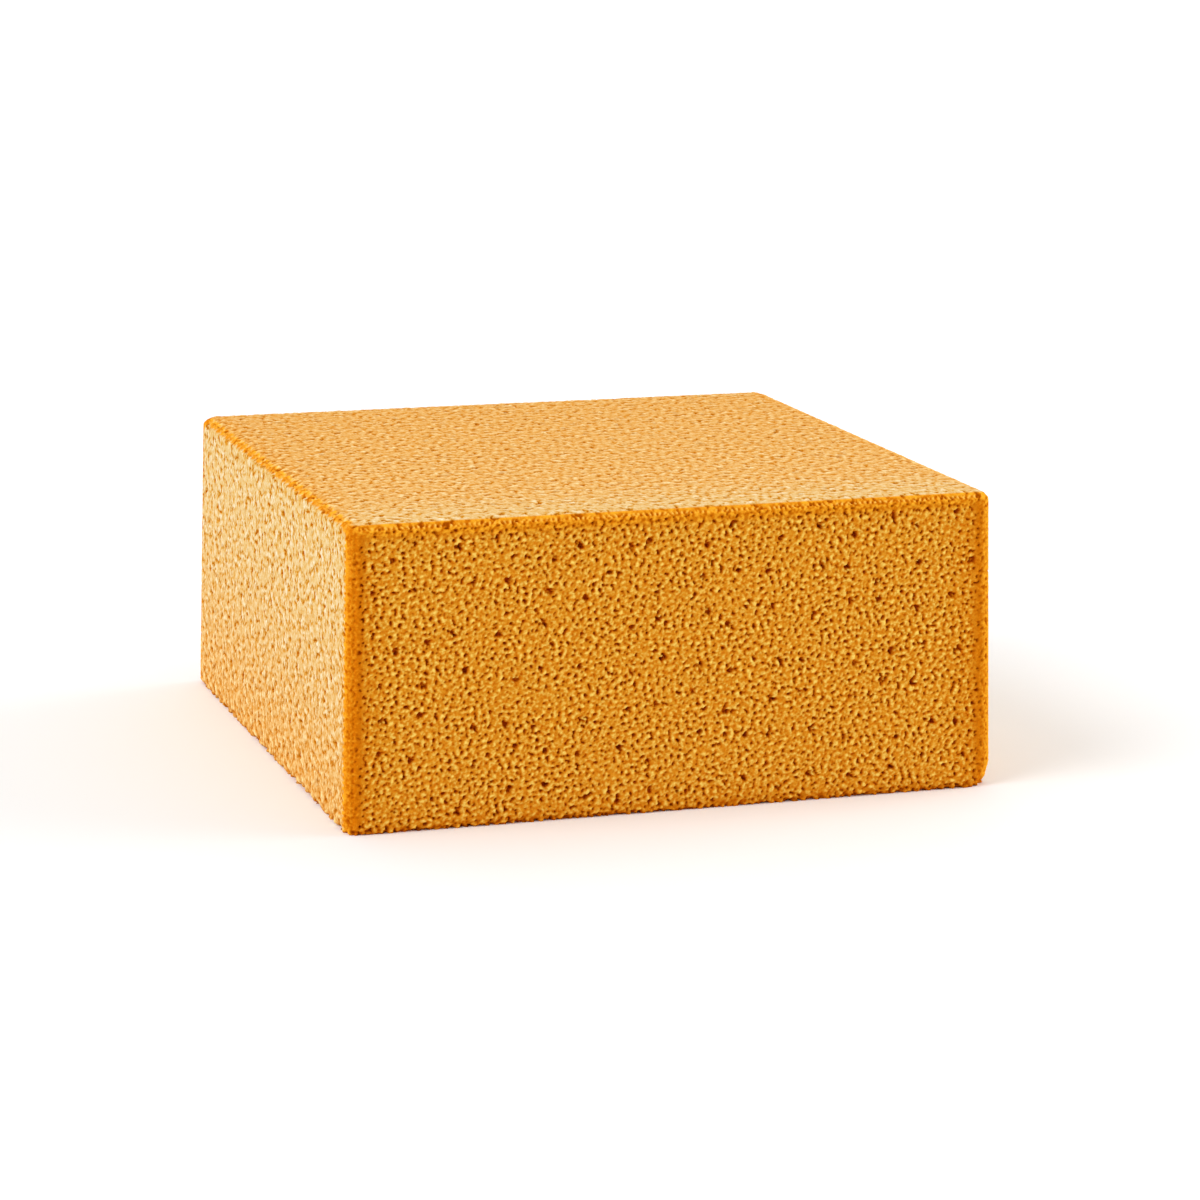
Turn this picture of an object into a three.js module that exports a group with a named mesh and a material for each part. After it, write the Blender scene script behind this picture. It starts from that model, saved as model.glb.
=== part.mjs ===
// A square mud cake turned out of its tin, uncut and un-iced, as one solid.
// Millimetres, +Z up. The flat base lies on z = 0 with the origin at its middle, and the front faces -Y.
// The walls lean in a little towards the top, because the tin's floor is narrower than its mouth and the
// cake stands upside down. Every wall and the top are open crumb: each panel of the surface carries one of
// the large pores, at its true size.

import * as THREE from "three";

// Driving dimensions
const FOOT_SIDE = 203;
const TOP_SIDE = 199;
const HEIGHT = 91;
const UPRIGHT_EDGE_RADIUS = 5;
const TOP_EDGE_RADIUS = 3;
const FOOT_EDGE_RADIUS = 1.2;

// Large pores: pits with a few sides that narrow to a point
const PORE_RADIUS = { least: 0.8, most: 1.35 };
const PORE_DEPTH_TO_RADIUS = 1.4;
const PORE_SIDES = 5;
const PORE_STRAY = 0.32; // how far a pore strays from its panel's middle, as a share of the panel

// How far the crumb may fall short of the true faces and of the top edge
const WALL_UNEVENNESS = 0.25;
const EDGE_UNEVENNESS = 0.4;

// How finely the surface is divided
const PANELS_ACROSS = 16;
const PANELS_UP = 7;
const UPRIGHT_EDGE_STEPS = 3;
const TOP_EDGE_STEPS = 3;
const FOOT_EDGE_STEPS = 2;
const CRUMB_SEED = 8;

const SIDES = 4;
const QUARTER_TURN = Math.PI / 2;
const POINTS_PER_SIDE = PANELS_ACROSS + UPRIGHT_EDGE_STEPS;
const POINTS_PER_RING = SIDES * POINTS_PER_SIDE;

const { lerp, seededRandom } = THREE.MathUtils;
const UP = new THREE.Vector3(0, 0, 1);

const vertices = [];
const triangles = [];

function addVertex(point) {
  vertices.push(point);
  return vertices.length - 1;
}

// A plain four-sided face, its corners counter-clockwise as seen from outside.
function addQuad([a, b, c, d]) {
  triangles.push(a, b, c, a, c, d);
}

// The point of a four-sided panel at shares u across and v up.
function pointOnPanel(corners, u, v) {
  const [a, b, c, d] = corners.map((index) => vertices[index]);
  const low = a.clone().lerp(b, u);
  const high = d.clone().lerp(c, u);
  return low.lerp(high, v);
}

// A panel with one pore: a pit whose rim lies in the panel, somewhere near its middle.
function addPoredPanel(corners) {
  const [a, b, , d] = corners.map((index) => vertices[index]);
  const across = b.clone().sub(a);
  const up = d.clone().sub(a);
  const width = across.length();
  const height = up.length();
  const outward = across.cross(up).normalize();

  const middleU = 0.5 + lerp(-PORE_STRAY, PORE_STRAY, seededRandom());
  const middleV = 0.5 + lerp(-PORE_STRAY, PORE_STRAY, seededRandom());
  const radius = lerp(PORE_RADIUS.least, PORE_RADIUS.most, seededRandom());
  const twist = seededRandom() * 2 * Math.PI;

  const rimShares = [];
  for (let i = 0; i < PORE_SIDES; i++) {
    const angle = twist + (i / PORE_SIDES) * 2 * Math.PI;
    const u = middleU + (radius * Math.cos(angle)) / width;
    const v = middleV + (radius * Math.sin(angle)) / height;
    rimShares.push(new THREE.Vector2(u, v));
  }
  const rim = rimShares.map(({ x, y }) => addVertex(pointOnPanel(corners, x, y)));

  const cornerShares = [
    new THREE.Vector2(0, 0),
    new THREE.Vector2(1, 0),
    new THREE.Vector2(1, 1),
    new THREE.Vector2(0, 1),
  ];
  const indices = [...corners, ...rim];
  for (const face of THREE.ShapeUtils.triangulateShape(cornerShares, [rimShares]))
    triangles.push(...face.map((i) => indices[i]));

  const tip = pointOnPanel(corners, middleU, middleV);
  tip.addScaledVector(outward, -radius * PORE_DEPTH_TO_RADIUS);
  const tipIndex = addVertex(tip);
  rim.forEach((index, i) => triangles.push(index, rim[(i + 1) % PORE_SIDES], tipIndex));
}

// One level outline: a rounded square, inset from the leaning wall and uneven by up to the given amount.
// It starts at the left end of the front and runs counter-clockwise as seen from above.
function addRing({ inset, z, unevenness }) {
  const half = lerp(FOOT_SIDE, TOP_SIDE, z / HEIGHT) / 2 - inset;
  const radius = UPRIGHT_EDGE_RADIUS - inset;
  const straight = half - radius;
  const ring = [];
  for (let side = 0; side < SIDES; side++) {
    const addPoint = (x, y, outward) => {
      const point = new THREE.Vector3(x, y, z);
      point.addScaledVector(outward, -unevenness * seededRandom());
      ring.push(addVertex(point.applyAxisAngle(UP, side * QUARTER_TURN)));
    };
    for (let i = 0; i <= PANELS_ACROSS; i++) {
      const x = lerp(-straight, straight, i / PANELS_ACROSS);
      addPoint(x, -half, new THREE.Vector3(0, -1, 0));
    }
    for (let i = 1; i < UPRIGHT_EDGE_STEPS; i++) {
      const angle = (i / UPRIGHT_EDGE_STEPS) * QUARTER_TURN;
      const outward = new THREE.Vector3(Math.sin(angle), -Math.cos(angle), 0);
      addPoint(straight + radius * outward.x, -straight + radius * outward.y, outward);
    }
  }
  return ring;
}

// The cake's upright profile, from the base up: rounded foot, leaning wall, rounded top edge.
function uprightProfile() {
  const levels = [];
  for (let i = 0; i <= FOOT_EDGE_STEPS; i++) {
    const angle = (i / FOOT_EDGE_STEPS) * QUARTER_TURN;
    const inset = FOOT_EDGE_RADIUS * (1 - Math.sin(angle));
    const z = FOOT_EDGE_RADIUS * (1 - Math.cos(angle));
    levels.push({ inset, z, unevenness: 0, pored: false });
  }
  const wallTop = HEIGHT - TOP_EDGE_RADIUS;
  for (let i = 1; i <= PANELS_UP; i++) {
    const z = lerp(FOOT_EDGE_RADIUS, wallTop, i / PANELS_UP);
    levels.push({ inset: 0, z, unevenness: WALL_UNEVENNESS, pored: true });
  }
  for (let i = 1; i <= TOP_EDGE_STEPS; i++) {
    const angle = (i / TOP_EDGE_STEPS) * QUARTER_TURN;
    const inset = TOP_EDGE_RADIUS * (1 - Math.cos(angle));
    const z = wallTop + TOP_EDGE_RADIUS * Math.sin(angle);
    levels.push({ inset, z, unevenness: EDGE_UNEVENNESS, pored: false });
  }
  return levels;
}

// The surface between two levels. The straight stretches carry pores where the upper level is pored.
function addBand(lower, upper, pored) {
  for (let i = 0; i < POINTS_PER_RING; i++) {
    const next = (i + 1) % POINTS_PER_RING;
    const corners = [lower[i], lower[next], upper[next], upper[i]];
    const onStraight = i % POINTS_PER_SIDE < PANELS_ACROSS;
    if (pored && onStraight) addPoredPanel(corners);
    else addQuad(corners);
  }
}

// The flat base: a fan about its middle, facing down.
function addBase(ring) {
  const middle = addVertex(new THREE.Vector3(0, 0, 0));
  ring.forEach((index, i) => triangles.push(middle, ring[(i + 1) % POINTS_PER_RING], index));
}

// The top: a square grid of pored panels inside the last ring, with a plain fan at each rounded corner.
function addTop(ring) {
  const last = PANELS_ACROSS;
  const straight = TOP_SIDE / 2 - UPRIGHT_EDGE_RADIUS;
  const inner = new Map();
  for (let j = 1; j < last; j++)
    for (let i = 1; i < last; i++) {
      const x = lerp(-straight, straight, i / last);
      const y = lerp(-straight, straight, j / last);
      const z = HEIGHT - WALL_UNEVENNESS * seededRandom();
      inner.set(`${i},${j}`, addVertex(new THREE.Vector3(x, y, z)));
    }
  const ringPoint = (side, step) => ring[side * POINTS_PER_SIDE + step];
  const gridPoint = (i, j) => {
    if (j === 0) return ringPoint(0, i);
    if (i === last) return ringPoint(1, j);
    if (j === last) return ringPoint(2, last - i);
    if (i === 0) return ringPoint(3, last - j);
    return inner.get(`${i},${j}`);
  };
  const isEnd = (step) => step === 0 || step === last - 1;
  for (let j = 0; j < last; j++)
    for (let i = 0; i < last; i++)
      if (!(isEnd(i) && isEnd(j)))
        addPoredPanel([
          gridPoint(i, j),
          gridPoint(i + 1, j),
          gridPoint(i + 1, j + 1),
          gridPoint(i, j + 1),
        ]);
  const fanSteps = UPRIGHT_EDGE_STEPS + 2; // the rounded corner and one panel's edge each side of it
  const fanCentres = [
    [last - 1, 1],
    [last - 1, last - 1],
    [1, last - 1],
    [1, 1],
  ];
  fanCentres.forEach(([i, j], side) => {
    const start = side * POINTS_PER_SIDE + last - 1;
    for (let step = 0; step < fanSteps; step++) {
      const from = ring[(start + step) % POINTS_PER_RING];
      const to = ring[(start + step + 1) % POINTS_PER_RING];
      triangles.push(gridPoint(i, j), from, to);
    }
  });
}

function cakeGeometry() {
  seededRandom(CRUMB_SEED);
  const levels = uprightProfile();
  const rings = levels.map(addRing);
  addBase(rings[0]);
  for (let i = 1; i < rings.length; i++) addBand(rings[i - 1], rings[i], levels[i].pored);
  addTop(rings[rings.length - 1]);
  const geometry = new THREE.BufferGeometry().setFromPoints(vertices);
  geometry.setIndex(triangles);
  geometry.computeVertexNormals();
  return geometry;
}

const crumb = new THREE.MeshStandardMaterial({ color: 0xe1a550, roughness: 0.9, metalness: 0 });

const cake = new THREE.Mesh(cakeGeometry(), crumb);
cake.name = "cake";

const part = new THREE.Group();
part.add(cake);

export default part;
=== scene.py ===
"""Looks of a square, un-iced mud cake: open crumb, browned edges and a flat base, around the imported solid.

The cake's skin is worked out in millimetres as one rounded block with one relief, and then divided along
its edges into wedges that all meet at the cake's middle, so that every piece is a closed solid of its own.
"""
import itertools
import math
from types import SimpleNamespace

import bpy
import numpy as np
from mathutils import Matrix, Vector


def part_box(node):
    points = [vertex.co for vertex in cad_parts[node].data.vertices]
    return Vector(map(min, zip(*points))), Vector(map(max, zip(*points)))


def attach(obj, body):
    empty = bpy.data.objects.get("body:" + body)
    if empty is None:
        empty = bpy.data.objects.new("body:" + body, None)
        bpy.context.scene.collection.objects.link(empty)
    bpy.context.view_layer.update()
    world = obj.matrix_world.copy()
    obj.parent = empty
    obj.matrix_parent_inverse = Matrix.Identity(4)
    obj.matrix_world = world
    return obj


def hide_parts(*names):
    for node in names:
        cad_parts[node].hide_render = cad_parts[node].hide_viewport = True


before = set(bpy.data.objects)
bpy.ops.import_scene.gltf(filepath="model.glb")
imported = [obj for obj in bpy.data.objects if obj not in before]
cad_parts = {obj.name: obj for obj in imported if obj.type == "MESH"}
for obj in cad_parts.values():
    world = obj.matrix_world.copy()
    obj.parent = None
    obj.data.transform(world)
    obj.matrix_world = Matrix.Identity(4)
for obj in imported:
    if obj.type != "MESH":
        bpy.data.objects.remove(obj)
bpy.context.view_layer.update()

MM = 0.001
ACROSS, BACK, UP = range(3)  # the axes: X to the right along the front, Y towards the back, and Z

# The block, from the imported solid's box
node_low, node_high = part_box("cake")
FOOT_SIDE = (node_high.x - node_low.x) / MM
HEIGHT = node_high.z / MM
FOOT_TO_TOP = 203 / 199
TOP_SIDE = FOOT_SIDE / FOOT_TO_TOP
HALF = TOP_SIDE / 2
EDGE_ROUND = np.array([5.0, 5.0, 3.0])  # how far an edge's rounding reaches along each axis
BLOCK_LOW = np.array([-HALF, -HALF, 0.0])
BLOCK_HIGH = np.array([HALF, HALF, HEIGHT])
MIDDLE = np.array([0.0, 0.0, HEIGHT / 2])

# How finely the skin is divided: cells in half a wall's width and in its height, and the base's rings
CELLS_HALF = 276
CELLS_UP = 252
BASE_RINGS = 10

# Crumb cells: waves, whose ridges stand between the cells, with a finer grain over them. The front and
# back show the cells end on, so that they are round there. The sides and the top show them along, drawn out
# front to back, and the sides have fine round cells between them.
CELL_SPACING = 2.2
GRAIN_SPACING = 1.15
GRAIN_SHARE = 0.7
FINE_CELL_SHARE = 0.9
SEALED_SCALE = 1.25
DRAWN_OUT = {"sides": 2.3, "top": 1.8}
CELL_SPREAD = {"sealed": 0.4, "open": 0.26}
FAVOURED = {"sealed": 0.5, "open": 0.1}
PATCH_SPACING = 6.0
PATCH_STRENGTH = 0.35
PATCH_LIMITS = (0.3, 2.0)
WAVE_COUNT = 90

# How the waves lie on the faces across X, Y and Z: the axis that they favour, then the other one
FACE_AXES = ((BACK, UP), (ACROSS, UP), (BACK, ACROSS))
FACE_BLEND = 6
LEAST_FACE_SHARE = 0.001
FACE_SHIFT = 311.0
OPPOSITE_FACE = 4  # shifts between a face and the one opposite it

# How squarely a surface faces: where it begins to count as a face, and where it is wholly that face
FACING = {
    "front": (0.8, 0.98),
    "side": (0.6, 1.0),
    "top": (0.6, 1.0),
    "beside left upright": (0.85, 1.0),
    "flat of side": (0.95, 1.0),
}

# How open the crumb is on the faces that the tin has sealed, where 1 is the front and back. The top opens
# over a share of the half width behind its front, and along strips at its sides.
# Sealed crumb is paler, and its paler colour is partly painted light for the bright sides and top
FOOT_OPENNESS = 0.6
TOP_OPENNESS = {"front": 0.15, "behind": 0.45, "sides": 0.15}
TOP_OPENS_OVER = 0.45
TOP_SIDE_STRIP = (2, 11)

# Relief of the crumb. A pore starts, and ends at its full depth, where the waves are this far down. Ridges
# end at a limit.
RELIEF_HEIGHT = 0.15
RELIEF_SHARE = {"sealed": 0.4, "open": 1.0}
RIDGE_SHARE = {"sealed": 0.35, "open": 1.0}
RIDGE_LIMIT = 2
PORE_STARTS = {"sealed": 1.0, "open": 1.1}
PORE_ENDS = {"sealed": 2.3, "open": 2.2}
PORE_DEPTH = 1.1

# Large pores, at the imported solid's own places: its points at this depth, and well away from every edge
LARGE_PORE_DEPTH = {"least": 1.0, "most": 2.5}
LARGE_PORE_FROM_EDGES = 3.0
LARGE_PORE_CUT = 1.5
LARGE_PORE_SHARE = {"sealed": 0.5, "open": 1.0}
LARGE_PORE_SIDES = (0.25, 0.75)
LARGE_PORE_RAGGEDNESS = 0.25
SOLID_DECIMALS = 2

# Browned edges: bands on the front and back, strips on the sides and the top, and a narrow rope of beads
# where a side meets the top, which starts this far from the front and back
EDGE_BAND = {"left": 4.1, "right": 5.7, "under top": 4.3}
EDGE_STRIP = {"wall": 5.0, "top": 2.2}
ROPE_STRIP = {"wall": 1.9, "top": 2.8}
ROPE_STARTS = (4, 9)

# Borders of the bands and strips, in shares of their widths
EDGE_BORDER = (0.75, 1.3)
BESIDE_EDGE = (1.2, 3.2)
TOP_BAND_LEADS = (-0.3, 0.6)
PALE_STARTS = {"strip": 0.7, "rope on top": 0.4}
PALE_ENDS = 1.3
EDGE_JAG = 0.08
SCALLOPS = {"beads": 0.45, "side": 0.35}

# How much of the crumb's relief the edges lose, the share of that which crumbly ones lose, and how crumbly
# the strips on the sides are
EDGE_SMOOTHNESS = 0.6
CRUMBLY_SMOOTHNESS = 0.5
CRUMBLY_STRIP = 0.8

# Beads in a row along each edge, with even ones under the front and back of the top. A row lies this far
# from its edge, reaches this far either side, and ends short of corners.
BEAD_HEIGHT = 0.5
BEAD_SPACING = 1.9
BEAD_SPREAD = 0.33
BEAD_SLANT = 0.55
EVEN_BEAD_SPACING = 1.5
EVEN_BEAD_SPREAD = 0.12
ROPE_DRAWN_OUT = 3.0
BEAD_ROW = {"wall": 1.3, "top": 0.6, "under top": 1.1}
BEAD_REACH = {"wall": 0.6, "top": 1.8, "under top": 0.7}
BEADS_END = (0.3, 3)

# The foot: a band of beads that is drawn in below, with its right front corner worn away
FOOT_BAND = 3.0
FOOT_BAND_WHOLE = 0.4
FOOT_BEAD_SPACING = 2.6
FOOT_BEAD_FULLNESS = 1.3
FOOT_INSET = 1.5
FOOT_INSET_BAND = 0.7
FOOT_INSET_SHARE = {"even": 0.6, "beads": 0.4}
WORN_CORNER = np.array([HALF, -HALF, 0.0])
WEAR_DEPTH = 4.0
WEAR_REACH = 8.0
WEAR_POWER = 1.5

# Shade of the crumb, from 0 on top of a ridge to 1 at the bottom of a pore: partly the crumb's own colour,
# partly painted shade in the pores and a painted highlight on the ridges. What ends fades out between two
# heights above the base, or two distances from the rope's edge.
EVEN_SHADE = {"sealed": 0.4, "open": 0.44}
RIDGE_SHADE = {"sides": 0.315, "top front": 0.205, "top back": 0.155, "open": 0.19}
SEALED_PORE_TO_RIDGE = {"sides": 2.2, "top": 3.2}
OPEN_PORE_SHADE = 0.19
LARGE_PORE_SHADE = {"sealed": 0.35, "open": 0.5}
TOP_BACK_SHADE = 0.06
# A painted contact shadow along the foot's lowest band
PAINTED_CONTACT_SHADOW = 0.3
PAINTED_CONTACT_SHADOW_ENDS = (0.2, 1.6)
BESIDE_EDGE_SHADE = 0.07
BY_FOOT_SHARE = 0.6
BY_FOOT_ENDS = (2, 9)
UNDER_ROPE_SHADE = 0.07
UNDER_ROPE_ENDS = (2, 8)

# Shade of the browned edges: its middle and contrast, what it gains by its place, the painted light
# that makes it lighter where it turns to the side or faces up, along the rope and on the left upright's
# outer turn, and what it loses on a bead, which is a painted highlight except on the rope
EDGE_SHADE = 0.42
EDGE_CONTRAST = {"smooth": 0.5, "crumbly": 1.0}
EDGE_GAIN = {"left": 0.17, "right": 0.04, "under top": -0.11}
EDGE_PAINTED_LIGHT = {"left": 0.36, "right": 0.5, "right strip": 0.4, "up": 0.1}
ROPE_PAINTED_LIGHT = 0.11
BEAD_PAINTED_LIGHT_AND_TONE = {"upright": 0.1, "under top": 0.45, "rope": -0.12, "foot": 0.18}

# How browned the beads, the rope and the foot are; the beads under the top less so, as a painted highlight
BEAD_PAINTED_HIGHLIGHT = 0.3
ROPE_BROWNED = {"even": 0.88, "beads": 0.12}
FOOT_BROWNED = 0.5
PALE_FOOT_LOSS = 0.7


def ramp(x, low, high):
    """Smooth step: 0 below low, 1 above high, with a cubic between them."""
    t = np.clip((x - low) / (high - low), 0, 1)
    return t * t * (3 - 2 * t)


def mix(a, b, share):
    """a where share is 0, b where it is 1, in proportion between."""
    return a + (b - a) * share


def by_openness(setting, opened):
    """A setting's sealed value where the crumb is sealed, its open value where it is open."""
    return mix(setting["sealed"], setting["open"], opened)


class Ripple:
    """A smooth random field over a plane: waves of a few sorts, with random phases and a variance of 1.

    Each sort has a length, a share of the height, and how far it is drawn out along the first axis. The
    waves' directions are spread evenly up to fan, an angle, either side of that axis, favoured makes the
    waves along it higher, and their lengths stray by a share that spread sets.
    """

    def __init__(self, sorts, spread, seed, fan=math.pi, favoured=0.0):
        draw = np.random.default_rng(seed)
        count = WAVE_COUNT * len(sorts)
        length, height, drawn_out = (np.resize(values, count) for values in zip(*sorts))
        angle = fan * (2 * (np.arange(count) + draw.random(count)) / count - 1)
        length = length * np.exp(draw.normal(0, spread, count))
        self.cycles = np.stack([np.cos(angle) / drawn_out, np.sin(angle)], axis=-1) / length[:, None]
        self.phases = draw.random(count)
        height = height * np.exp(favoured / 2 * np.cos(2 * angle))
        self.heights = height * math.sqrt(2 / np.sum(height**2))

    def at(self, places):
        """The field's values at a list of places on the plane."""
        total = np.zeros(len(places))
        for cycles, phase, height in zip(self.cycles, self.phases, self.heights):
            total += height * np.cos(2 * math.pi * (places @ cycles + phase))
        return total


OPEN_WAVES = [(CELL_SPACING, 1.0, 1.0), (GRAIN_SPACING, GRAIN_SHARE, 1.0)]
TOP_WAVES = [
    (SEALED_SCALE * CELL_SPACING, 1.0, DRAWN_OUT["top"]),
    (SEALED_SCALE * GRAIN_SPACING, GRAIN_SHARE, DRAWN_OUT["top"]),
]
SIDE_WAVES = [
    (SEALED_SCALE * CELL_SPACING, 1.0, DRAWN_OUT["sides"]),
    (CELL_SPACING, FINE_CELL_SHARE, 1.0),
    (GRAIN_SPACING, FINE_CELL_SHARE * GRAIN_SHARE, 1.0),
]
OPEN_CELLS = Ripple(OPEN_WAVES, CELL_SPREAD["open"], seed=3, favoured=FAVOURED["open"])
TOP_CELLS = Ripple(TOP_WAVES, CELL_SPREAD["sealed"], seed=5, favoured=FAVOURED["sealed"])
SIDE_CELLS = Ripple(SIDE_WAVES, CELL_SPREAD["sealed"], seed=5, favoured=FAVOURED["sealed"])
PATCHES = Ripple([(PATCH_SPACING, 1.0, DRAWN_OUT["top"])], CELL_SPREAD["sealed"], seed=11)
BEADS = Ripple([(BEAD_SPACING, 1.0, 1.0)], BEAD_SPREAD, seed=7, fan=BEAD_SLANT)
EVEN_BEADS = Ripple([(EVEN_BEAD_SPACING, 1.0, 1.0)], EVEN_BEAD_SPREAD, seed=13, fan=BEAD_SLANT)
FOOT_BEADS = Ripple([(FOOT_BEAD_SPACING, 1.0, 1.0)], BEAD_SPREAD, seed=9)
SIDE_FOOT_BEADS = Ripple([(FOOT_BEAD_SPACING, 1.0, DRAWN_OUT["top"])], BEAD_SPREAD, seed=9)


def on_faces(points, normals, ripples):
    """Fields laid on the block's faces across X, Y and Z, blended at edges by a power of the normals."""
    shares = np.abs(normals) ** FACE_BLEND
    shares /= np.linalg.norm(shares, axis=-1, keepdims=True)
    total = np.zeros(points.shape[:-1])
    for outward, (axes, ripple) in enumerate(zip(FACE_AXES, ripples)):
        here = shares[..., outward] > LEAST_FACE_SHARE
        shift = FACE_SHIFT * (outward + OPPOSITE_FACE * (normals[here][:, outward] > 0))
        places = points[here][:, axes] + shift[:, None]
        total[here] += shares[here][:, outward] * ripple.at(places)
    return total


def rounded_block(sharp):
    """Points and outward normals of the rounded block, for points on a sharp block of the same size.

    Each point is clamped into an inner block that is smaller by the rounding on its walls and top. What is
    left over, as shares of the rounding, is made a unit vector, and the surface lies that far from the
    clamped point.
    """
    inner = np.clip(sharp, BLOCK_LOW + EDGE_ROUND * [1, 1, 0], BLOCK_HIGH - EDGE_ROUND)
    reach = (sharp - inner) / EDGE_ROUND
    reach /= np.linalg.norm(reach, axis=-1, keepdims=True)
    normals = reach / EDGE_ROUND
    normals /= np.linalg.norm(normals, axis=-1, keepdims=True)
    return inner + reach * EDGE_ROUND, normals


def growth(points):
    """The walls' lean: across the cake, sizes grow in proportion from the top down to the foot."""
    grown = mix(FOOT_TO_TOP, 1.0, points[..., UP:] / HEIGHT)
    return np.concatenate([grown, grown, np.ones_like(grown)], axis=-1)


def solid_pores():
    """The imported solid's large pores: for each, its place on the upright block and its depth.

    A pore's tip is known by its distances from the block's faces, in order: the first, which is its depth,
    is more than that of any point on an edge, and the second is large.
    """
    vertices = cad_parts["cake"].data.vertices
    points = np.zeros(3 * len(vertices), np.float32)
    vertices.foreach_get("co", points)
    points = np.unique(np.round(points.reshape(-1, 3) / MM, SOLID_DECIMALS), axis=0)
    points /= growth(points)
    outward = np.sign(points)
    outward[:, UP] = 1
    from_faces = BLOCK_HIGH - points * outward
    order = np.sort(np.column_stack([from_faces, points[:, UP]]), axis=-1)
    depth = order[:, 0]
    is_tip = (depth > LARGE_PORE_DEPTH["least"]) & (depth < LARGE_PORE_DEPTH["most"])
    is_tip &= order[:, 1] > LARGE_PORE_FROM_EDGES
    own_face = from_faces == depth[:, None]
    return (points + outward * own_face * depth[:, None])[is_tip], depth[is_tip]


PORE_PLACES, PORE_RADII = solid_pores()


def large_pores(points):
    """How far a point is into a large pore: 1 at its middle, evenly down to 0 at its rim.

    The rim lies as far from the middle as the pore is deep.
    """
    spots = points.reshape(-1, 3)
    low = spots.min(axis=0) - LARGE_PORE_DEPTH["most"]
    high = spots.max(axis=0) + LARGE_PORE_DEPTH["most"]
    near = np.all((PORE_PLACES > low) & (PORE_PLACES < high), axis=-1)
    share = np.zeros(points.shape[:-1])
    for place, radius in zip(PORE_PLACES[near], PORE_RADII[near]):
        share = np.maximum(share, 1 - np.linalg.norm(points - place, axis=-1) / radius)
    return share


def edge_share(sharp, jag):
    """How much a point belongs to a browned edge, to the darker crumb beside it, and to the top edge's band.

    The distance to the nearest side or to the top is taken in shares of the band's width, and jag moves the
    band's border in and out. The sides and the top count as edge all over: pale_share says where they turn
    pale.
    """
    to_left = (HALF + sharp[..., ACROSS]) / EDGE_BAND["left"]
    to_right = (HALF - sharp[..., ACROSS]) / EDGE_BAND["right"]
    to_top = (HEIGHT - sharp[..., UP]) / EDGE_BAND["under top"]
    to_upright = np.minimum(to_left, to_right)
    nearest = np.minimum(to_upright, to_top)
    edge = 1 - ramp(nearest + jag, *EDGE_BORDER)
    by_edge = 1 - ramp(nearest, *BESIDE_EDGE)
    under_top = ramp(to_upright - to_top, *TOP_BAND_LEADS)
    return edge, by_edge, under_top


def edge_beads(sharp):
    """How far the nearest edge is, and beads in a row along it: 1 on a bead to -1 between two, and how near.

    A point's three distances to the block's faces are put in order. The first is 0, the second is its
    distance from the edge, and the third belongs to the axis along which the edge runs. The front and back
    edges of the top have their row on the wall alone.
    """
    from_walls = HALF - np.abs(sharp[..., :UP])
    distances = np.stack([from_walls[..., ACROSS], from_walls[..., BACK], HEIGHT - sharp[..., UP]])
    order = np.argsort(distances, axis=0)
    second, third = np.take_along_axis(distances, order[1:], axis=0)
    runs_along = order[2]
    along = np.take_along_axis(sharp, runs_along[..., None], axis=-1)[..., 0]
    drawn_out = np.where(runs_along == BACK, ROPE_DRAWN_OUT, 1.0)
    places = (np.stack([along, second], axis=-1) / drawn_out[..., None]).reshape(-1, 2)
    runs_across = runs_along == ACROSS
    field = np.where(runs_across.ravel(), EVEN_BEADS.at(places), BEADS.at(places))
    bead = np.tanh(field.reshape(along.shape))

    on_top = distances[UP] == 0
    rows = [on_top, runs_across]
    from_row = second - np.select(rows, [BEAD_ROW["top"], BEAD_ROW["under top"]], BEAD_ROW["wall"])
    reach = np.select(rows, [BEAD_REACH["top"], BEAD_REACH["under top"]], BEAD_REACH["wall"])
    nearness = np.exp(-((from_row / reach) ** 2)) * ramp(third - second, *BEADS_END)
    return second, bead, np.where(on_top & runs_across, 0, nearness)


def pale_share(sharp, from_edge, rope, jag):
    """How pale a point is: 0 on the front, back and browned edges, 1 on the rest of the sides and top.

    The distance from the edge is taken in shares of the browned strip's width, which changes to the rope's
    where the top meets a side, and jag moves the border in and out.
    """
    on_top = sharp[..., UP] == HEIGHT
    strip = np.where(on_top, EDGE_STRIP["top"], EDGE_STRIP["wall"])
    rope_strip = np.where(on_top, ROPE_STRIP["top"], ROPE_STRIP["wall"])
    share = from_edge / mix(strip, rope_strip, rope) + jag
    starts_on_top = mix(PALE_STARTS["strip"], PALE_STARTS["rope on top"], rope)
    pale = ramp(share, np.where(on_top, starts_on_top, PALE_STARTS["strip"]), PALE_ENDS)
    return np.where(np.abs(sharp[..., BACK]) < HALF, pale, 0)


def openness(points, normals):
    """How open the crumb is: 1 on the front and back, 0 where the tin has sealed it.

    The sides open towards the foot. The top is sealed along its front and opens behind it and at its sides.
    Sealed crumb is shallower and paler, and its paler colour is partly its own and partly painted light.
    """
    lowness = np.clip(1 - points[..., UP] / HEIGHT, 0, 1)
    sides = FOOT_OPENNESS * lowness**2 * ramp(np.abs(normals[..., ACROSS]), *FACING["side"])
    from_front = ramp(points[..., BACK] + HALF, 0, TOP_OPENS_OVER * HALF)
    from_side = 1 - ramp(HALF - np.abs(points[..., ACROSS]), *TOP_SIDE_STRIP)
    top = mix(TOP_OPENNESS["front"], TOP_OPENNESS["behind"], from_front) + TOP_OPENNESS["sides"] * from_side
    top *= ramp(normals[..., UP], *FACING["top"])
    return np.maximum(ramp(np.abs(normals[..., BACK]), *FACING["front"]), np.maximum(sides, top))


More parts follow.
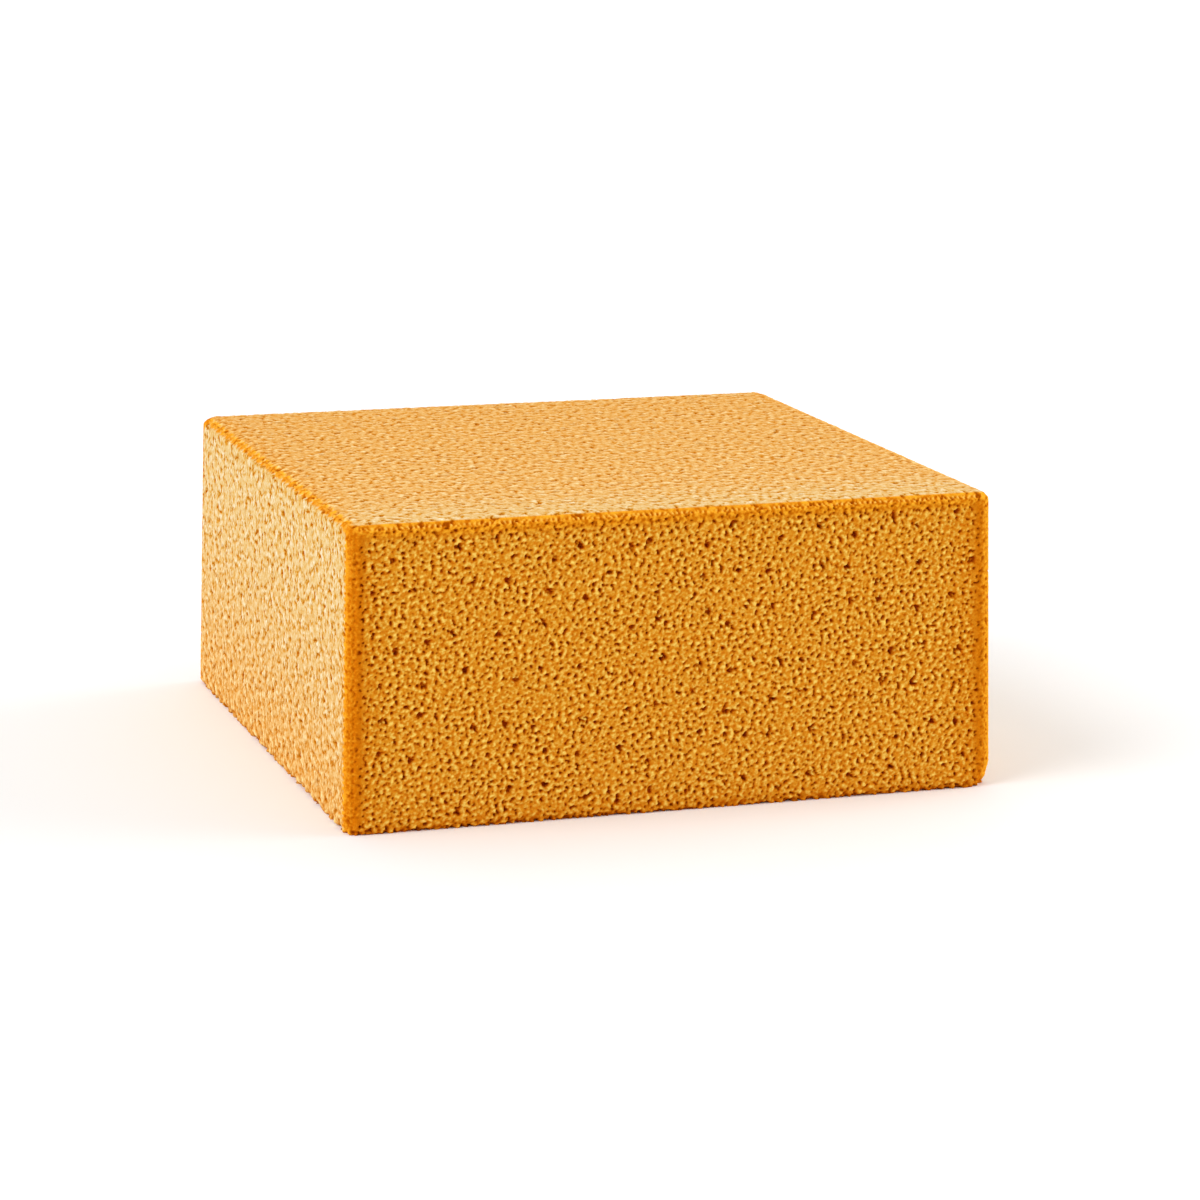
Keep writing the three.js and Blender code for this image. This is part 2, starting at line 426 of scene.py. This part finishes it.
def crumb_at(sharp):
    """What the crumb is like at points of the sharp block, as a set of named values.

    The waves of each face, made uneven by patches where it is sealed, give the texture: pores where it is
    lowest, and ridges that are levelled where it is sealed. Then come the large pores, the beads of the
    edges and of the foot, and how far each point belongs to a browned edge, to the rope and to the pale
    crumb.
    """
    at = SimpleNamespace(sharp=sharp)
    at.points, at.normals = rounded_block(sharp)
    at.opened = openness(at.points, at.normals)
    texture = on_faces(at.points, at.normals, (SIDE_CELLS, OPEN_CELLS, TOP_CELLS))
    patch = on_faces(at.points, at.normals, (PATCHES, PATCHES, PATCHES))
    patchy = PATCH_STRENGTH * (1 - at.opened)
    texture *= np.clip(1 + patchy * patch, *PATCH_LIMITS) / np.sqrt(1 + patchy**2)
    at.pore = ramp(-texture, by_openness(PORE_STARTS, at.opened), by_openness(PORE_ENDS, at.opened))
    at.levelled = np.where(texture > 0, by_openness(RIDGE_SHARE, at.opened) * texture, texture)
    raggedness = 1 - LARGE_PORE_RAGGEDNESS * texture
    at.large_pore = ramp(large_pores(at.points) * raggedness, *LARGE_PORE_SIDES)

    at.from_edge, at.bead, at.beaded = edge_beads(sharp)
    foot_field = on_faces(at.points, at.normals, (SIDE_FOOT_BEADS, FOOT_BEADS, FOOT_BEADS))
    at.foot_bead = np.tanh(FOOT_BEAD_FULLNESS * foot_field)
    at.foot = 1 - ramp(sharp[..., UP], FOOT_BAND_WHOLE * FOOT_BAND, FOOT_BAND)

    at.turned = np.abs(at.normals[..., ACROSS])
    at.on_side = ramp(at.turned, *FACING["flat of side"])
    at.on_top = ramp(at.normals[..., UP], *FACING["top"])
    at.rope = ramp(HALF - np.abs(sharp[..., BACK]), *ROPE_STARTS)
    side_scallop = SCALLOPS["side"] * at.on_side * (1 - at.rope)
    scallop = np.maximum(SCALLOPS["beads"] * at.beaded, side_scallop) * at.bead
    at.pale = pale_share(sharp, at.from_edge, at.rope, -scallop)
    edge, at.by_edge, at.under_top = edge_share(sharp, -EDGE_JAG * texture)
    at.edge = edge * (1 - at.pale)
    at.crumbly = np.maximum(at.under_top, CRUMBLY_STRIP * at.on_side)
    return at


def crumb_relief(at):
    """How far the crumb lies from the block along its normals, which is inwards or nothing.

    The ridges count down from their limit, and they and the pores are shallower where the crumb is sealed or
    on an edge. The large pores, the gaps between beads, the foot's inset and the worn corner cut in further.
    """
    smoothness = EDGE_SMOOTHNESS * at.edge * mix(1.0, CRUMBLY_SMOOTHNESS, at.crumbly)
    depth = by_openness(RELIEF_SHARE, at.opened) * (1 - smoothness)
    ridges = RELIEF_HEIGHT * (np.minimum(at.levelled, RIDGE_LIMIT) - RIDGE_LIMIT)
    height = depth * (ridges - PORE_DEPTH * at.pore)
    height -= LARGE_PORE_CUT * by_openness(LARGE_PORE_SHARE, at.opened) * at.large_pore
    height -= BEAD_HEIGHT * (at.beaded * (1 - at.bead) + at.foot * (1 - at.foot_bead)) / 2
    inset = FOOT_INSET_SHARE["even"] - FOOT_INSET_SHARE["beads"] * at.foot_bead
    lowness = np.clip(1 - at.sharp[..., UP] / (FOOT_INSET_BAND * FOOT_BAND), 0, 1)
    height -= FOOT_INSET * inset * lowness**2
    wear = np.clip(1 - np.linalg.norm(at.sharp - WORN_CORNER, axis=-1) / WEAR_REACH, 0, 1)
    return height - WEAR_DEPTH * wear**WEAR_POWER


def crumb_tone_and_painted_light(at):
    """How hollow the crumb looks: an even shade, less on ridges, and more in pores and large pores.

    This is partly the crumb's own colour, and partly painted shade in the pores and a painted highlight on
    the ridges. It gains towards the top's back, towards the foot, beside the edges and under the rope, and a
    painted contact shadow darkens the foot's lowest band. On a browned edge it keeps part of its contrast
    about the edge's own shade, which changes with the edge's place, and painted light makes it lighter where
    the edge turns to the side or faces up, along the rope and on the left upright's outer turn. A bead on an
    upright, under the top or at the foot is lighter than the gaps beside it, a painted highlight with
    painted shade between, and on the rope it is darker.
    """
    backward = (at.points[..., BACK] / HALF + 1) / 2
    rightward = (at.sharp[..., ACROSS] / HALF + 1) / 2
    height = at.sharp[..., UP]

    top_ridge = mix(RIDGE_SHADE["top front"], RIDGE_SHADE["top back"], backward)
    sealed_ridge = mix(RIDGE_SHADE["sides"], top_ridge, at.on_top)
    sealed_pore = mix(SEALED_PORE_TO_RIDGE["sides"], SEALED_PORE_TO_RIDGE["top"], at.on_top) * sealed_ridge
    ridge_shade = mix(sealed_ridge, RIDGE_SHADE["open"], at.opened)
    # Partly painted shade: darker into pores and large pores, lighter on ridges
    hollow = by_openness(EVEN_SHADE, at.opened) - ridge_shade * at.levelled
    pore_shade = mix(sealed_pore, OPEN_PORE_SHADE, at.opened) * at.pore
    hollow += pore_shade + by_openness(LARGE_PORE_SHADE, at.opened) * at.large_pore
    hollow += TOP_BACK_SHADE * at.on_top * backward
    # Painted contact shadow: darker along the lowest band of the foot
    hollow += PAINTED_CONTACT_SHADOW * (1 - ramp(height, *PAINTED_CONTACT_SHADOW_ENDS))
    by_foot = BY_FOOT_SHARE * (1 - ramp(height, *BY_FOOT_ENDS))
    hollow += BESIDE_EDGE_SHADE * np.maximum(at.by_edge * (1 - at.under_top), by_foot) * (1 - at.pale)
    hollow += UNDER_ROPE_SHADE * at.rope * (1 - at.on_top) * (1 - ramp(at.from_edge, *UNDER_ROPE_ENDS))

    # Painted light: the edge is lighter where it turns to the side or faces up, less so on the right wall's
    # flat strip, and lighter again along the rope and on the left upright's outer turn
    right_painted_light = EDGE_PAINTED_LIGHT["right"] - EDGE_PAINTED_LIGHT["right strip"] * at.on_side
    painted_light = mix(EDGE_PAINTED_LIGHT["left"], right_painted_light, rightward) * at.turned + EDGE_PAINTED_LIGHT["up"] * at.normals[..., UP]
    upright_gain = mix(EDGE_GAIN["left"], EDGE_GAIN["right"], rightward)
    gain_and_painted_light = mix(upright_gain, EDGE_GAIN["under top"], at.under_top) - painted_light
    beside_left = (1 - rightward) * ramp(at.turned, *FACING["beside left upright"])
    gain_and_painted_light -= ROPE_PAINTED_LIGHT * np.maximum(at.rope, beside_left)
    contrast = mix(EDGE_CONTRAST["smooth"], EDGE_CONTRAST["crumbly"], at.crumbly)
    hollow = mix(hollow, EDGE_SHADE + contrast * (hollow - EDGE_SHADE) + gain_and_painted_light, at.edge)

    # Painted highlight on the beads of the uprights, under the top and at the foot, with painted shade in
    # their gaps; on the rope the beads are a darker orange instead
    bead_painted_light_and_tone = mix(BEAD_PAINTED_LIGHT_AND_TONE["upright"], BEAD_PAINTED_LIGHT_AND_TONE["under top"], at.under_top)
    bead_painted_light_and_tone = mix(bead_painted_light_and_tone, BEAD_PAINTED_LIGHT_AND_TONE["rope"], at.rope)
    hollow -= bead_painted_light_and_tone * at.beaded * at.bead + BEAD_PAINTED_LIGHT_AND_TONE["foot"] * at.foot * at.foot_bead
    return np.clip(hollow, 0, 1)


def crumb_browning(at):
    """How browned the crumb is: the edges, and part of the foot, which is less browned where it is pale.

    Under the top the beads are less browned than their gaps, a painted highlight, and on the rope the gaps
    are less browned.
    """
    # A painted highlight: beads under the top are less browned
    on_beads = 1 - BEAD_PAINTED_HIGHLIGHT * at.under_top * at.beaded * np.clip(at.bead, 0, 1)
    on_rope = ROPE_BROWNED["even"] + ROPE_BROWNED["beads"] * at.bead
    edge = at.edge * mix(on_beads, on_rope, at.rope)
    return np.maximum(edge, FOOT_BROWNED * at.foot * (1 - PALE_FOOT_LOSS * at.pale))


def crumb(sharp):
    """The crumb's surface over points of the sharp block, with what its finish needs at each point.

    The surface is the rounded block moved along its normals by the relief, then grown by the walls' lean.
    """
    at = crumb_at(sharp)
    surface = at.points + at.normals * crumb_relief(at)[..., None]
    # The hollow value holds the crumb's own tone together with painted shade and painted light
    values = {"hollow": crumb_tone_and_painted_light(at), "browned": crumb_browning(at), "opened": at.opened}
    return surface * growth(surface), values


def grid_faces(rows, columns):
    """Four-sided faces of a grid of points, counter-clockwise where columns run right and rows run up."""
    index = np.arange(rows * columns).reshape(rows, columns)
    corners = [index[:-1, :-1], index[:-1, 1:], index[1:, 1:], index[1:, :-1]]
    return np.stack(corners, axis=-1).reshape(-1, 4)


def grid_rim(rows, columns):
    """The grid's outer points in order, counter-clockwise, starting at its first point."""
    index = np.arange(rows * columns).reshape(rows, columns)
    return np.concatenate([index[0, :-1], index[:-1, -1], index[-1, :0:-1], index[:0:-1, 0]])


def new_piece(name, points, quads, closing, map_places, values, material):
    """A mesh object from whole arrays: skin of quads, closing triangles, a map, and values at its points."""
    mesh = bpy.data.meshes.new(name)
    mesh.vertices.add(len(points))
    mesh.vertices.foreach_set("co", (points * MM).astype(np.float32).ravel())
    corners = np.concatenate([quads.ravel(), closing.ravel()])
    mesh.loops.add(len(corners))
    mesh.loops.foreach_set("vertex_index", corners.astype(np.int32))
    starts = np.concatenate([np.arange(len(quads)) * 4, quads.size + np.arange(len(closing)) * 3])
    mesh.polygons.add(len(starts))
    mesh.polygons.foreach_set("loop_start", starts.astype(np.int32))
    mesh.update(calc_edges=True)
    smooth = np.arange(len(starts)) < len(quads)
    mesh.polygons.foreach_set("use_smooth", smooth)
    flat_map = mesh.uv_layers.new(name="OFBake")
    flat_map.data.foreach_set("uv", map_places.astype(np.float32).ravel())
    for value_name, value in values.items():
        held = mesh.attributes.new(value_name, "FLOAT", "POINT")
        held.data.foreach_set("value", value.astype(np.float32).ravel())
    mesh.materials.append(material)
    piece = bpy.data.objects.new(name, mesh)
    bpy.context.scene.collection.objects.link(piece)
    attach(piece, "root")
    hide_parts("cake")
    return piece


SKIN_MAP_SHARE = 0.94  # of the map's height; the strip above it holds the hidden closing faces
BASE_MAP_WIDTH = 1.1  # in foot sides, so that the base keeps clear of its map's border


def wedge(name, points, values, material):
    """A closed wedge: a grid of skin, and triangles from each step of its rim to the cake's middle.

    The skin's map is the grid itself, and each closing triangle has a step of the strip above it.
    """
    rows, columns = points.shape[:2]
    rim = grid_rim(rows, columns)
    after = np.roll(rim, -1)
    tip = rows * columns
    quads = grid_faces(rows, columns)
    closing = np.stack([after, rim, np.full_like(rim, tip)], axis=-1)

    across, up = np.meshgrid(np.linspace(0, 1, columns), np.linspace(0, SKIN_MAP_SHARE, rows))
    skin_map = np.stack([across, up], axis=-1).reshape(-1, 2)[quads].reshape(-1, 2)
    step = np.arange(len(rim)) / len(rim)
    strip_low = (1 + SKIN_MAP_SHARE) / 2
    closing_map = np.stack(
        [
            np.stack([step + 1 / len(rim), np.full_like(step, strip_low)], axis=-1),
            np.stack([step, np.full_like(step, strip_low)], axis=-1),
            np.stack([step, np.ones_like(step)], axis=-1),
        ],
        axis=1,
    ).reshape(-1, 2)

    all_points = np.concatenate([points.reshape(-1, 3), MIDDLE[None]])
    all_values = {key: np.append(value.ravel(), 0.0) for key, value in values.items()}
    map_places = np.concatenate([skin_map, closing_map])
    return new_piece(name, all_points, quads, closing, map_places, all_values, material)


def wall_grid(turns, first, last):
    """Sharp-block points of one half of a wall, which is the front turned by quarter turns.

    Columns run right between two shares of the half width, and rows run up.
    """
    across, up = np.meshgrid(
        np.linspace(first * HALF, last * HALF, CELLS_HALF + 1), np.linspace(0, HEIGHT, CELLS_UP + 1)
    )
    out = np.full_like(across, -HALF)
    for _ in range(turns):
        across, out = -out, across
    return np.stack([across, out, up], axis=-1)


def top_grid(left, front):
    """Sharp-block points of a quarter of the top. Its left and front ends are shares of the half width."""
    across, back = np.meshgrid(
        np.linspace(left * HALF, (left + 1) * HALF, CELLS_HALF + 1),
        np.linspace(front * HALF, (front + 1) * HALF, CELLS_HALF + 1),
    )
    return np.stack([across, back, np.full_like(across, HEIGHT)], axis=-1)


def base_piece(ring, material):
    """The flat underside: the ring of the walls' lowest points, drawn in evenly to the base's middle."""
    share = np.linspace(1, 0, BASE_RINGS + 1)[:-1]
    rings = ring[None] * share[:, None, None]
    around = len(ring)
    index = np.arange(BASE_RINGS * around).reshape(BASE_RINGS, around)
    after = np.roll(index, -1, axis=1)
    quads = np.stack([index[:-1], index[1:], after[1:], after[:-1]], axis=-1).reshape(-1, 4)
    centre = BASE_RINGS * around
    tip = centre + 1
    inner = np.stack([index[-1], np.full(around, centre), after[-1]], axis=-1)
    outer = np.stack([index[0], after[0], np.full(around, tip)], axis=-1)
    closing = np.concatenate([inner, outer])
    points = np.concatenate([rings.reshape(-1, 3), np.zeros((1, 3)), MIDDLE[None]])
    places = 0.5 + points[:, :UP] / (BASE_MAP_WIDTH * FOOT_SIDE)
    corners = np.concatenate([quads.ravel(), closing.ravel()])
    return new_piece("crumb_base", points, quads, closing, places[corners], {}, material)


def add_node(tree, kind, inputs=None, **settings):
    """A shader node with its settings and input values. An input given as a socket is linked."""
    node = tree.nodes.new(kind)
    for name, value in settings.items():
        setattr(node, name, value)
    for key, value in (inputs or {}).items():
        if isinstance(value, bpy.types.NodeSocket):
            tree.links.new(value, node.inputs[key])
        else:
            node.inputs[key].default_value = value
    return node


EYE_GAMMA = 2.2
COLOUR_MIX = {"share": 0, "first": 6, "second": 7, "result": 2}  # the mix node's sockets for colours


def mixed_colour(tree, share, first, second):
    """The output of a colour mix node."""
    inputs = {COLOUR_MIX["share"]: share, COLOUR_MIX["first"]: first, COLOUR_MIX["second"]: second}
    node = add_node(tree, "ShaderNodeMix", inputs, data_type="RGBA", clamp_factor=True)
    return node.outputs[COLOUR_MIX["result"]]


def mixed_as_seen(tree, share, first, second):
    """A colour mix in even steps to the eye, not of light, so that orange into cream stays golden."""
    seen = [
        add_node(tree, "ShaderNodeGamma", {"Color": colour, "Gamma": 1 / EYE_GAMMA}).outputs["Color"]
        for colour in (first, second)
    ]
    mixed = mixed_colour(tree, share, *seen)
    return add_node(tree, "ShaderNodeGamma", {"Color": mixed, "Gamma": EYE_GAMMA}).outputs["Color"]


def colour_ramp(tree, share, stops):
    """A colour ramp through stops of place and colour."""
    node = add_node(tree, "ShaderNodeValToRGB", {"Fac": share})
    elements = node.color_ramp.elements
    while len(elements) < len(stops):
        elements.new(0.5)
    for element, (place, colour) in zip(elements, stops):
        element.position = place
        element.color = (*colour, 1)
    return node.outputs["Color"]


def held_value(tree, name):
    """A value that the mesh holds at its points."""
    return add_node(tree, "ShaderNodeAttribute", attribute_name=name).outputs["Fac"]


# Crumb colours, linear, from a ridge's top through the even surface to the bottom of a pore. The paler
# ridges and darker pores are partly the crumb's own colour and partly painted highlight and painted shade.
OPEN_CRUMB = [
    (0.0, (1.0, 0.70, 0.14)),
    (0.42, (0.765, 0.30, 0.016)),
    (0.7, (0.66, 0.165, 0.002)),
    (1.0, (0.36, 0.037, 0.0)),
]
# Sealed crumb: its pale cream is partly its own colour and partly painted light and painted sheen
SEALED_CRUMB_AND_PAINTED_LIGHT = [
    (0.0, (0.862, 0.79, 0.61)),
    (0.42, (0.733, 0.515, 0.214)),
    (0.7, (0.655, 0.305, 0.022)),
    (1.0, (0.47, 0.095, 0.0)),
]
BROWNED_CRUMB = [(0.0, (0.95, 0.42, 0.022)), (0.42, (0.66, 0.178, 0.0025)), (1.0, (0.42, 0.08, 0.0005))]
BROWNED_BASE = [(0.0, (0.70, 0.34, 0.06)), (1.0, (0.50, 0.15, 0.01))]
CRUMB_ROUGHNESS = {"To Min": 0.75, "To Max": 0.5}  # from plain crumb to browned crumb
BASE_ROUGHNESS = {"To Min": 0.6, "To Max": 0.85}  # from the grain's hollows to its ridges

# Fine grain: cells in a metre, how far they shift the crumb's shade, and how high their bump is
GRAIN_SCALE = {"crumb": 2000.0, "base": 750.0}
GRAIN_SHIFT = 0.5
GRAIN_NOISE = {"Detail": 2.0, "Roughness": 0.6}
GRAIN_MIDDLE = 0.5
BUMP_DISTANCE = {"crumb": 0.25 * MM, "base": 0.3 * MM}
BUMP_STRENGTH = 0.5


def fine_grain_group():
    """Grain finer than the mesh, from a noise: a shift of how hollow the crumb is, and a height for bump."""
    tree = bpy.data.node_groups.new("fine_grain", "ShaderNodeTree")
    for name in ("Grain Scale", "Shift Range"):
        tree.interface.new_socket(name, in_out="INPUT", socket_type="NodeSocketFloat")
    for name in ("Shift", "Height"):
        tree.interface.new_socket(name, in_out="OUTPUT", socket_type="NodeSocketFloat")
    given = add_node(tree, "NodeGroupInput").outputs
    put_out = add_node(tree, "NodeGroupOutput").inputs
    here = add_node(tree, "ShaderNodeTexCoord").outputs["Object"]
    drawn_out = (1, 1 / DRAWN_OUT["top"], 1)
    place = add_node(tree, "ShaderNodeMapping", {"Vector": here, "Scale": drawn_out}).outputs["Vector"]
    noise = {"Vector": place, "Scale": given["Grain Scale"], **GRAIN_NOISE}
    fine = add_node(tree, "ShaderNodeTexNoise", noise).outputs["Fac"]
    below = add_node(tree, "ShaderNodeMath", {0: GRAIN_MIDDLE, 1: fine}, operation="SUBTRACT").outputs[0]
    shift = add_node(tree, "ShaderNodeMath", {0: below, 1: given["Shift Range"]}, operation="MULTIPLY")
    tree.links.new(shift.outputs[0], put_out["Shift"])
    tree.links.new(fine, put_out["Height"])
    return tree


def new_material(name):
    """A material with its shader nodes."""
    material = bpy.data.materials.new(name)
    material.use_nodes = True
    return material


def finish_surface(material, colour, roughness, height, bump_distance):
    """Puts a colour, a roughness and the fine grain's bump on the material's Principled shader."""
    tree = material.node_tree
    shader = tree.nodes["Principled BSDF"]
    tree.links.new(colour, shader.inputs["Base Color"])
    tree.links.new(roughness, shader.inputs["Roughness"])
    shader.inputs["Specular IOR Level"].default_value = 0.0
    bump = add_node(
        tree, "ShaderNodeBump", {"Height": height, "Strength": BUMP_STRENGTH, "Distance": bump_distance}
    )
    tree.links.new(bump.outputs["Normal"], shader.inputs["Normal"])


def crumb_material(grain_group):
    """Golden crumb: darker into its pores, amber where it is open, pale where sealed, brown at edges.

    The darker pores are partly painted shade, and the pale where sealed is partly painted light.
    """
    material = new_material("golden_crumb")
    tree = material.node_tree
    grain_inputs = {"Grain Scale": GRAIN_SCALE["crumb"], "Shift Range": GRAIN_SHIFT}
    grain = add_node(tree, "ShaderNodeGroup", grain_inputs, node_tree=grain_group).outputs
    # The hollow value, with painted shade, painted highlights and painted light in it, picks the crumb's
    # colour
    hollow = add_node(
        tree, "ShaderNodeMath", {0: held_value(tree, "hollow"), 1: grain["Shift"]}, operation="ADD"
    ).outputs[0]
    # Pale sealed crumb, partly painted light, and amber open crumb, both darker into pores as partly painted
    # shade
    sealed = colour_ramp(tree, hollow, SEALED_CRUMB_AND_PAINTED_LIGHT)
    opened = colour_ramp(tree, hollow, OPEN_CRUMB)
    body = mixed_colour(tree, held_value(tree, "opened"), sealed, opened)
    browned = colour_ramp(tree, hollow, BROWNED_CRUMB)
    edged = mixed_as_seen(tree, held_value(tree, "browned"), body, browned)
    roughness = add_node(
        tree, "ShaderNodeMapRange", {"Value": held_value(tree, "browned"), **CRUMB_ROUGHNESS}
    ).outputs["Result"]
    finish_surface(material, edged, roughness, grain["Height"], BUMP_DISTANCE["crumb"])
    return material


def base_material(grain_group):
    """The underside: browned crumb pressed flat, mottled by the fine grain."""
    material = new_material("browned_base")
    tree = material.node_tree
    grain = add_node(
        tree, "ShaderNodeGroup", {"Grain Scale": GRAIN_SCALE["base"]}, node_tree=grain_group
    ).outputs
    colour = colour_ramp(tree, grain["Height"], BROWNED_BASE)
    roughness = add_node(
        tree, "ShaderNodeMapRange", {"Value": grain["Height"], **BASE_ROUGHNESS}
    ).outputs["Result"]
    finish_surface(material, colour, roughness, grain["Height"], BUMP_DISTANCE["base"])
    return material


WALLS = ("front", "right", "back", "left")  # each a quarter turn on from the one before


def build_cake():
    """Every wall in two halves, named for the walls that they end at, the top in quarters, and the base."""
    grain_group = fine_grain_group()
    crumb_finish = crumb_material(grain_group)
    feet = []
    for turns, side in enumerate(WALLS):
        for first, end in ((-1, WALLS[turns - 1]), (0, WALLS[(turns + 1) % len(WALLS)])):
            points, values = crumb(wall_grid(turns, first, first + 1))
            wedge(f"crumb_{side}_{end}", points, values, crumb_finish)
            feet.append(points[0, :-1])
    for (side, front), (half, left) in itertools.product(
        (("front", -1), ("back", 0)), (("left", -1), ("right", 0))
    ):
        points, values = crumb(top_grid(left, front))
        wedge(f"crumb_top_{side}_{half}", points, values, crumb_finish)
    base_piece(np.concatenate(feet), base_material(grain_group))


# Camera, fitted to the photograph's 1200 pixel frame, with its distance and aim worked out from the top's
# side. Lengths are in metres.
PHOTO_PIXELS = 1200
FOCAL_PIXELS = 3828
SENSOR_MM = 36.0
CAMERA_YAW = math.radians(18.07)
CAMERA_PITCH = math.radians(12.26)
CAMERA_ROLL = -0.00775
CAMERA_DISTANCE = 6.139 * TOP_SIDE * MM
CAMERA_AIM = np.array([0.0407 * TOP_SIDE, 0.0, 0.2125 * TOP_SIDE]) * MM
CAMERA_SIGHT = 200


def add_camera():
    """A level camera turned by yaw and pitch about the point it aims at, with a small roll."""
    forward = np.array(
        [
            math.sin(CAMERA_YAW) * math.cos(CAMERA_PITCH),
            math.cos(CAMERA_YAW) * math.cos(CAMERA_PITCH),
            -math.sin(CAMERA_PITCH),
        ]
    )
    level_right = np.array([math.cos(CAMERA_YAW), -math.sin(CAMERA_YAW), 0.0])
    level_down = np.cross(forward, level_right)
    right = math.cos(CAMERA_ROLL) * level_right + math.sin(CAMERA_ROLL) * level_down
    down = math.cos(CAMERA_ROLL) * level_down - math.sin(CAMERA_ROLL) * level_right
    place = CAMERA_AIM - forward * CAMERA_DISTANCE
    data = bpy.data.cameras.new("camera")
    data.sensor_width = SENSOR_MM
    data.lens = FOCAL_PIXELS / PHOTO_PIXELS * SENSOR_MM
    data.clip_end = CAMERA_SIGHT
    camera = bpy.data.objects.new("camera", data)
    turned = np.column_stack([right, -down, -forward])
    camera.matrix_world = Matrix.Translation(place) @ Matrix(turned.tolist()).to_4x4()
    bpy.context.scene.collection.objects.link(camera)
    bpy.context.scene.camera = camera


# Studio: a pale floor, white surroundings that are brighter behind the cake, a soft sun high on the left and
# a softer low one on the right
FLOOR_HALF = 25.0
FLOOR_COLOUR = (0.93, 0.93, 0.93, 1)
FLOOR_ROUGHNESS = 0.8
WHITE = (1, 1, 1, 1)
SURROUNDINGS = {"front": 0.5, "back": 1.0}
SUNS = {
    "key": {"from": (-0.8, -0.15, 0.75), "strength": 0.47, "spread": 40},
    "fill": {"from": (0.95, -0.05, 0.25), "strength": 0.6, "spread": 60},
}


def add_surroundings():
    """White light from all round, stronger towards the back. The camera itself sees it at full strength."""
    world = bpy.data.worlds.new("studio")
    world.use_nodes = True
    bpy.context.scene.world = world
    tree = world.node_tree
    direction = add_node(tree, "ShaderNodeTexCoord").outputs["Generated"]
    backward = add_node(tree, "ShaderNodeSeparateXYZ", {"Vector": direction}).outputs["Y"]
    strength = add_node(
        tree,
        "ShaderNodeMapRange",
        {
            "Value": backward,
            "From Min": -1.0,
            "To Min": SURROUNDINGS["front"],
            "To Max": SURROUNDINGS["back"],
        },
    ).outputs["Result"]
    in_view = add_node(tree, "ShaderNodeLightPath").outputs["Is Camera Ray"]
    shown = add_node(tree, "ShaderNodeMath", {0: strength, 1: in_view}, operation="MAXIMUM").outputs[0]
    background = tree.nodes["Background"]
    background.inputs["Color"].default_value = WHITE
    tree.links.new(shown, background.inputs["Strength"])


def add_floor():
    """A wide square floor under the cake, for the stage alone."""
    corners = FLOOR_HALF * np.array([[-1, -1, 0], [1, -1, 0], [1, 1, 0], [-1, 1, 0]])
    mesh = bpy.data.meshes.new("floor")
    mesh.from_pydata(corners.tolist(), [], [(0, 1, 2, 3)])
    material = new_material("pale_floor")
    shader = material.node_tree.nodes["Principled BSDF"]
    shader.inputs["Base Color"].default_value = FLOOR_COLOUR
    shader.inputs["Roughness"].default_value = FLOOR_ROUGHNESS
    mesh.materials.append(material)
    floor = bpy.data.objects.new("floor", mesh)
    bpy.context.scene.collection.objects.link(floor)


def add_suns():
    """Suns that shine from their own directions towards the cake."""
    for name, setting in SUNS.items():
        sun = bpy.data.lights.new(name, "SUN")
        sun.energy = setting["strength"] * math.pi
        sun.angle = math.radians(setting["spread"])
        lamp = bpy.data.objects.new(name, sun)
        lamp.matrix_world = Vector(setting["from"]).to_track_quat("Z", "Y").to_matrix().to_4x4()
        bpy.context.scene.collection.objects.link(lamp)


bpy.context.scene.view_settings.view_transform = "Standard"
add_camera()
add_surroundings()
add_floor()
add_suns()
build_cake()
